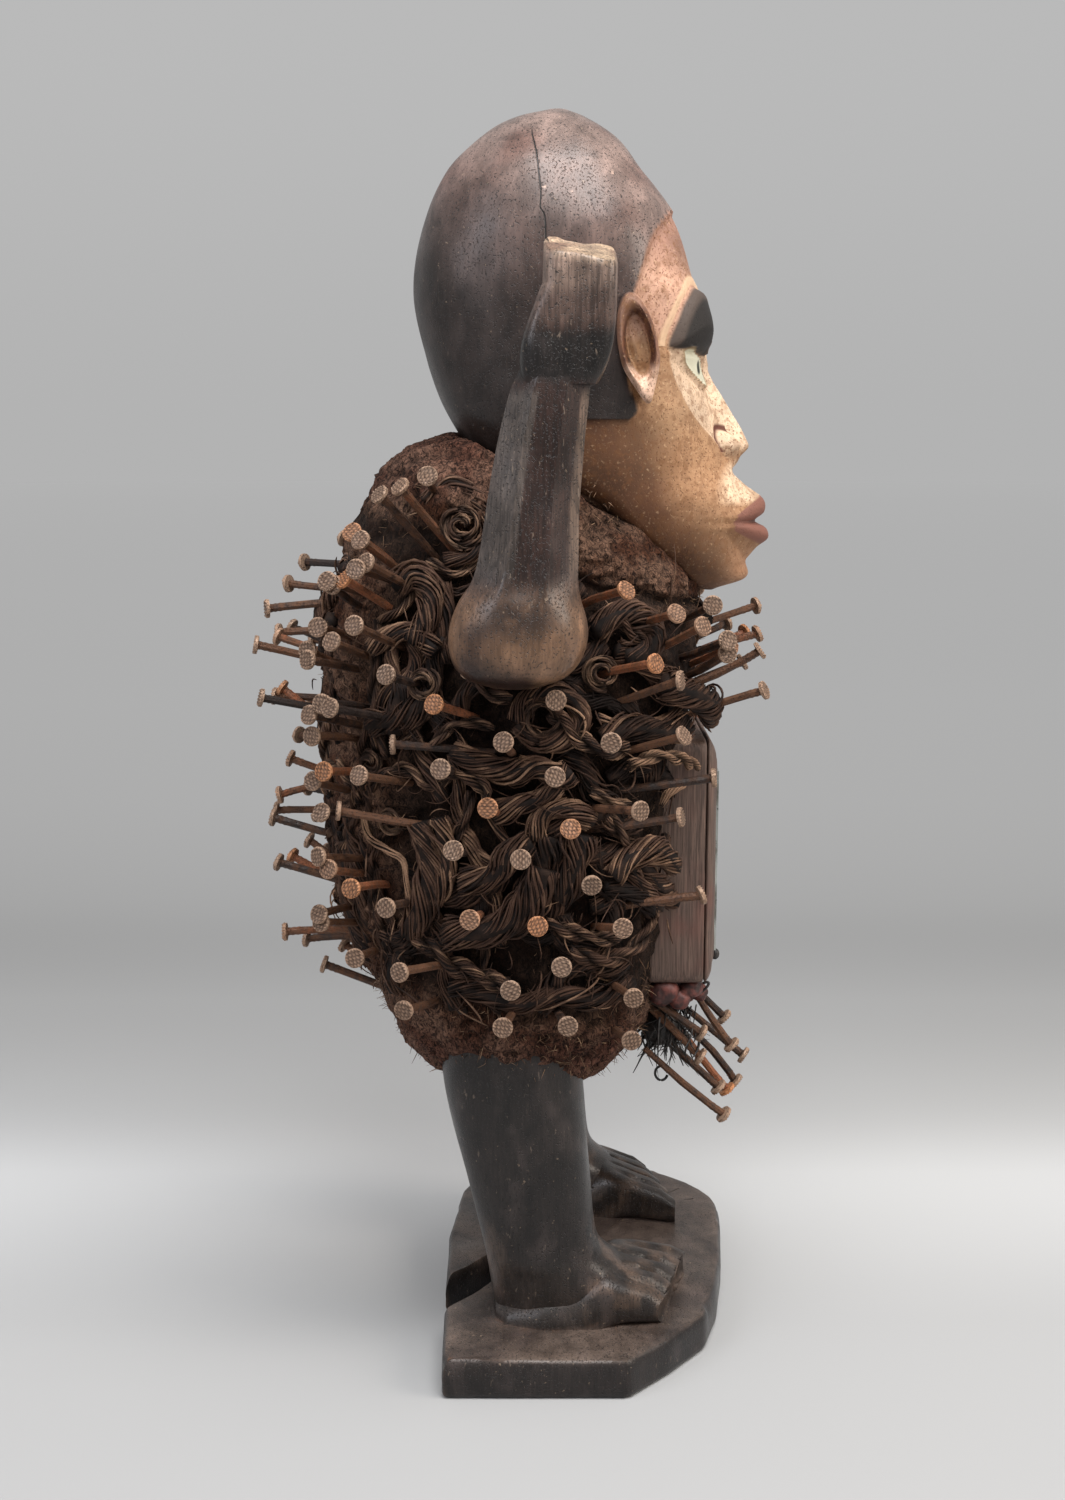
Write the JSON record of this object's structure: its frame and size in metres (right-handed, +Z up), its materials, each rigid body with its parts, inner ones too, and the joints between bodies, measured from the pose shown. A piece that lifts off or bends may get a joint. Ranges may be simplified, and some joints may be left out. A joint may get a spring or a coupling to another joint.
{
  "type": "nkisi nkondi power figure",
  "caption": "Standing carved wooden power figure on its own base, right arm raised, trunk wrapped in matted fibre, studded with nails and cord, mirror-fronted box on the belly.",
  "frame": {"origin": "middle of the base's flat underside, below the figure's own upright axis", "axes": "+Z up, the figure faces -Y, its right (raised arm) side at -X"},
  "size_m": [0.2065, 0.1904, 0.46],
  "materials": {
    "carved_wood": "dark oiled and handled carved wood, glossy on the head, with a painted ochre face",
    "matted_fibre": "thick matted brown plant fibre felt, dusty and rough",
    "box_wood": "dull grey brown split wood with vertical grain",
    "mirror_glass": "old clouded mirror glass with pale edges",
    "rusty_iron": "rusted wire nails with checkered heads, brown to orange",
    "cord_fibre": "twisted raffia cord, very dark brown with tan strands",
    "black_fibre": "black stringy plant fibre"
  },
  "bodies": {
    "root": {"carved_figure": "carved_wood", "fibre_coat": "matted_fibre", "belly_box": "box_wood", "belly_box_lid": "box_wood", "belly_box_mirror": "mirror_glass", "fibre_tuft": "black_fibre", "nail_right_01": "rusty_iron", "nail_right_02": "rusty_iron", "nail_right_03": "rusty_iron", "nail_right_04": "rusty_iron", "nail_right_05": "rusty_iron", "nail_right_06": "rusty_iron", "nail_right_07": "rusty_iron", "nail_right_08": "rusty_iron", "nail_right_09": "rusty_iron", "nail_right_10": "rusty_iron", "nail_right_11": "rusty_iron", "nail_right_12": "rusty_iron", "nail_right_13": "rusty_iron", "nail_right_14": "rusty_iron", "nail_right_15": "rusty_iron", "nail_right_16": "rusty_iron", "nail_right_17": "rusty_iron", "nail_right_18": "rusty_iron", "nail_right_19": "rusty_iron", "nail_right_20": "rusty_iron", "nail_right_21": "rusty_iron", "nail_right_22": "rusty_iron", "nail_right_23": "rusty_iron", "nail_left_01": "rusty_iron", "nail_left_02": "rusty_iron", "nail_left_03": "rusty_iron", "nail_left_04": "rusty_iron", "nail_left_05": "rusty_iron", "nail_left_06": "rusty_iron", "nail_front_01": "rusty_iron", "nail_front_02": "rusty_iron", "nail_front_03": "rusty_iron", "cord_hank_01": "cord_fibre", "cord_hank_02": "cord_fibre", "cord_hank_03": "cord_fibre", "cord_hank_04": "cord_fibre", "cord_hank_05": "cord_fibre", "cord_hank_06": "cord_fibre", "cord_hank_07": "cord_fibre", "cord_hank_08": "cord_fibre", "cord_hank_09": "cord_fibre", "cord_hank_10": "cord_fibre", "cord_hank_11": "cord_fibre", "cord_hank_12": "cord_fibre"}
  },
  "joints": []
}
